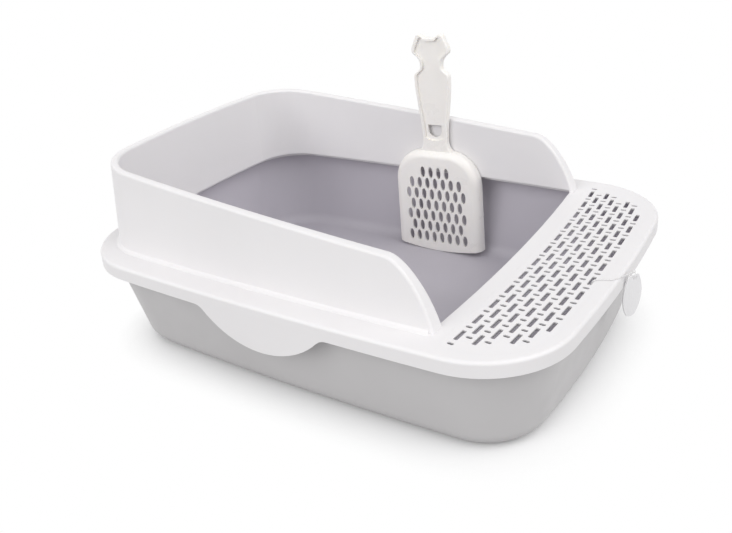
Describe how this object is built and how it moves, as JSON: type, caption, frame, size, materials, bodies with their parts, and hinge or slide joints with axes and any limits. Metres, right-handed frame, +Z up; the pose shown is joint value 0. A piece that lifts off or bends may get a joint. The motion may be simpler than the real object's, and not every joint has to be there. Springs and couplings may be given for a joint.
{
  "type": "open cat litter tray",
  "caption": "Open cat litter tray: tapered grey pan, lift-off white rim with a sloping wall and perforated step, slotted scoop and a blank swing tag.",
  "frame": {"origin": "centre of the tray's footprint, on the floor under the pan", "axes": "+X towards the step end, +Y across the tray towards the wall the scoop leans on, +Z up"},
  "size_m": [0.5209, 0.38, 0.2718],
  "materials": {
    "grey_plastic": "satin grey moulded plastic",
    "white_plastic": "satin white moulded plastic",
    "ivory_plastic": "semi-gloss ivory moulded plastic",
    "white_string": "plain white string",
    "tag_card": "blank white tag"
  },
  "bodies": {
    "pan": {"base_pan": "grey_plastic"},
    "rim": {"rim_frame": "white_plastic", "step_grille": "white_plastic", "tag_string": "white_string"},
    "scoop": {"litter_scoop": "ivory_plastic"},
    "tag": {"swing_tag": "tag_card"}
  },
  "joints": [
    {"name": "rim_lift", "type": "slide", "parent": "pan", "child": "rim", "axis": [0, 0, 1], "range_m": [0, 0.2]},
    {"name": "scoop_lift", "type": "slide", "parent": "pan", "child": "scoop", "axis": [0, 0, 1], "range_m": [0, 0.3]},
    {"name": "tag_swing", "type": "hinge", "parent": "rim", "child": "tag", "pos_m": [0.2607, 0.004, 0.105], "axis": [1, 0, 0], "range_deg": [-30, 30]}
  ]
}
